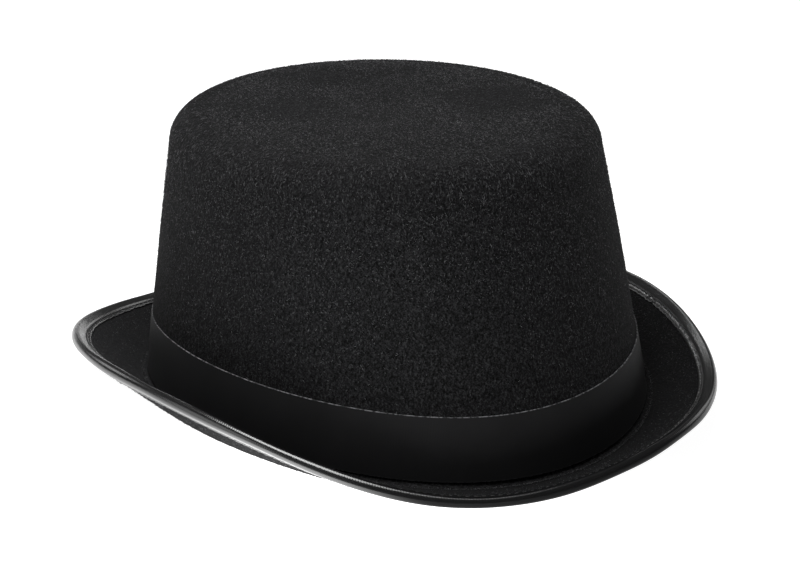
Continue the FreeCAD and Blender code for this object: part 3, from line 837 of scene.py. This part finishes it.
def make_lining_tip():
    """Oval of satin that hangs a little slack from its seam."""
    a = LINING_ANGLES
    faces = []
    shares = (0.05, 0.15, 0.28, 0.4, 0.52, 0.63, 0.73, 0.81, 0.88, 0.93, 0.97, 1.0)
    for drop in (0.0, 0.22):
        rows = []
        for share in shares:
            sag = 3.6 * (1 - share ** 2) ** 1.2
            pucker = 1.1 * share ** 6 * (1 - share) * 8 * gathers(a)
            wave = 0.5 * (1 - share) * share * np.cos(3 * a + 0.6) * 2
            level = LINING_LEVEL + 0.3 - 0.9 * share ** 8 - sag - pucker - wave - drop
            rows.append(oval(a, (TOP_HALF_WIDTH - SHOULDER_REACH) * share,
                             (TOP_HALF_LENGTH - SHOULDER_REACH) * share, level))
        faces.append(rows)
    rows = np.array(faces[0] + faces[1][::-1])
    return closed_shell("lining_tip_satin", rows, rows[0].mean(0), rows[-1].mean(0), LINING_LOOK)


lining_tip = make_lining_tip()
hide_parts("lining_tip")


def make_lining_stitches():
    def place(a, over):
        return oval(a, TOP_HALF_WIDTH - SHOULDER_REACH - 1.0, TOP_HALF_LENGTH - SHOULDER_REACH - 1.0,
                    LINING_LEVEL - 1.0 - over)

    return thread("lining_seam_threads", stitch_paths(place, 150, 0.7, 0.25), 0.15, THREAD_LOOK)


lining_threads = make_lining_stitches()
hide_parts("lining_seam_stitches")


# ------------------------------------------------------------------------- label
def make_label():
    low, high = (np.array(corner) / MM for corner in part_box("care_label"))
    across = np.linspace(-1, 1, 25)
    down = np.linspace(0, 1, 33)
    u, v = np.meshgrid(across, down)
    middle = (low[1] + high[1]) / 2
    x = u * (high[0] - low[0]) / 2 * (1 + 0.004 * np.sin(v * 40))
    z = high[2] - v * (high[2] - low[2]) - 0.25 * u ** 2
    curl = 0.5 * (u ** 2 - 0.3) * v - 0.7 * np.sin(v * 2.6) * v
    y = middle + curl + 0.12 * np.sin(u * 5 + v * 7) * v
    front = np.stack([x, y - 0.09, z], -1)
    rear = np.stack([x, y + 0.09, z], -1)
    faces = grid_faces(len(down), len(across), False, False)
    size = u.size
    other = [tuple(size + k for k in reversed(face)) for face in faces]
    rim = ([(0, k) for k in range(len(across))]
           + [(k, len(across) - 1) for k in range(1, len(down))]
           + [(len(down) - 1, k) for k in reversed(range(len(across) - 1))]
           + [(k, 0) for k in reversed(range(1, len(down) - 1))])
    numbers = [i * len(across) + j for i, j in rim]
    side = [(p, q, size + q, size + p) for p, q in zip(numbers, numbers[1:] + numbers[:1])]
    return make_piece("care_label_blank", np.concatenate([front.reshape(-1, 3), rear.reshape(-1, 3)]),
                      faces + other + side, LABEL_LOOK)


label = make_label()
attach(label, "label")
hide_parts("care_label")


def make_label_threads():
    """Small hand stitches from the sweatband over the label's top edge."""
    high = np.array(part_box("label_stitches")[1]) / MM
    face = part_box("care_label")[0][1] / MM
    count = 9
    paths = []
    for k in range(count):
        x = 7.6 * (2 * k / (count - 1) - 1)
        share = np.linspace(0, 1, 9)
        y = high[1] + 0.3 + (face - 0.25 - high[1] - 0.3) * smooth(share * 1.25)
        z = high[2] + 0.25 + 0.55 * np.sin(math.pi * share) - 1.1 * smooth(share * 2 - 1)
        paths.append(np.stack([x + 0.35 * share, y, z], -1))
    return thread("label_threads", paths, 0.15, WHITE_THREAD_LOOK)


label_threads = make_label_threads()
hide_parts("label_stitches")


def paint(node, look):
    """Gives a CAD node that stays its finished material."""
    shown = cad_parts[node]
    for place in shown.material_slots:
        place.link = "OBJECT"
        place.material = look.material


paint("brim_wire", WIRE_LOOK)
paint("wire_joiner", SLEEVE_LOOK)


# ---------------------------------------------------------- floor, light, camera
# The floor is lit from below, and more so in a round spot beside the hat, on the wearer's
# right of the front, which shines in the satin under the brim.
FLOOR_HALF_SIZE = 4.0
FLOOR_LEVEL = -0.0005
FLOOR_GLOW = 0.95
SPOT_PLACE, SPOT_RADIUS, SPOT_GLOW = (-0.12, -0.11, 0), 0.075, 3.5


def make_floor():
    half = FLOOR_HALF_SIZE
    mesh = bpy.data.meshes.new("studio_floor")
    mesh.from_pydata([(-half, -half, 0), (half, -half, 0), (half, half, 0), (-half, half, 0)], [],
                     [(0, 1, 2, 3)])
    look = Look("studio_white", Specular_IOR_Level=0.2)
    look.finish((0.5, 0.5, 0.5, 1), 0.8, look.noise(40), 0.0001, 0.1)
    look.shader.inputs["Emission Color"].default_value = (1, 1, 1, 1)
    distance = look.node("VectorMath", {"operation": "DISTANCE"})
    look.feed(distance.inputs[0], look.place)
    look.feed(distance.inputs[1], SPOT_PLACE)
    spread = look.math("POWER", look.math("DIVIDE", distance.outputs["Value"], SPOT_RADIUS), 2.0)
    fade = look.math("EXPONENT", look.math("MULTIPLY", spread, -1.0))
    glow = look.math("MULTIPLY", fade, SPOT_GLOW)
    look.feed(look.shader.inputs["Emission Strength"], look.math("ADD", glow, FLOOR_GLOW))
    mesh.materials.append(look.material)
    floor = bpy.data.objects.new("studio_floor", mesh)
    bpy.context.collection.objects.link(floor)
    floor.location.z = FLOOR_LEVEL


def make_panel(name, place, target, width, height, power):
    """Soft rectangular light, sizes in metres and power in watts."""
    data = bpy.data.lights.new(name, "AREA")
    data.shape = "RECTANGLE"
    data.size, data.size_y = width, height
    data.energy = power
    panel = bpy.data.objects.new(name, data)
    bpy.context.collection.objects.link(panel)
    panel.location = place
    aim = Vector(target) - Vector(place)
    panel.rotation_euler = aim.to_track_quat("-Z", "Y").to_euler()


WORLD_GLOW = 0.09                        # what the room adds to the light on the hat
BACKDROP_GLOW = 1.1                      # how bright the backdrop is seen


def make_world():
    world = bpy.data.worlds.new("studio")
    bpy.context.scene.world = world
    world.use_nodes = True
    tree = world.node_tree
    background = tree.nodes["Background"]
    background.inputs["Color"].default_value = (1, 1, 1, 1)
    ray = tree.nodes.new("ShaderNodeLightPath")
    level = tree.nodes.new("ShaderNodeMix")
    tree.links.new(ray.outputs["Is Camera Ray"], level.inputs[0])
    level.inputs[2].default_value = WORLD_GLOW
    level.inputs[3].default_value = BACKDROP_GLOW
    tree.links.new(level.outputs[0], background.inputs["Strength"])


# the camera's direction and roll in degrees, and its place and lens
CAMERA_AZIMUTH, CAMERA_HEIGHT, CAMERA_TILT = 28, 17.55, 2.3
CAMERA_DISTANCE = 1.0
CAMERA_AIM = (0, 0, 0.05556)
CAMERA_LENS, CAMERA_SENSOR = 125.44, 36.0
CAMERA_SHIFT = (0.0158, -0.0529)


def make_camera():
    """Camera on the wearer's right of the front, a little above the hat."""
    azimuth, height = math.radians(CAMERA_AZIMUTH), math.radians(CAMERA_HEIGHT)
    tilt = math.radians(CAMERA_TILT)
    back = Vector((-math.sin(azimuth) * math.cos(height), -math.cos(azimuth) * math.cos(height),
                   math.sin(height)))
    right = Vector((math.cos(azimuth), -math.sin(azimuth), 0))
    up = back.cross(right)
    data = bpy.data.cameras.new("camera")
    data.sensor_width = CAMERA_SENSOR
    data.lens = CAMERA_LENS
    data.shift_x, data.shift_y = CAMERA_SHIFT
    camera = bpy.data.objects.new("camera", data)
    bpy.context.collection.objects.link(camera)
    sideways = right * math.cos(tilt) - up * math.sin(tilt)
    upwards = up * math.cos(tilt) + right * math.sin(tilt)
    turn = Matrix((sideways, upwards, back)).transposed()
    stand = Vector(CAMERA_AIM) + CAMERA_DISTANCE * back
    camera.matrix_world = Matrix.Translation(stand) @ turn.to_4x4()
    data.clip_start, data.clip_end = 0.05, 40
    bpy.context.scene.camera = camera


make_floor()
make_world()
HAT_MIDDLE = (0, 0, 0.05)
make_panel("top_panel", (-0.09, -0.05, 0.5), (0, -0.02, 0.08), 0.3, 0.3, 2.6)
make_panel("left_panel", (-1.4, 0.2, 0.5), HAT_MIDDLE, 1.1, 0.9, 3.8)
make_panel("back_left_panel", (-0.43, 1.19, 0.59), HAT_MIDDLE, 0.5, 0.4, 1.2)
make_panel("back_right_panel", (1.3, 0.4, 0.5), HAT_MIDDLE, 0.6, 0.5, 1.6)
make_panel("streak_panel", (0.48, 0.99, 0.9), HAT_MIDDLE, 0.4, 0.15, 1.0)
make_camera()
bpy.context.scene.view_settings.view_transform = "Standard"
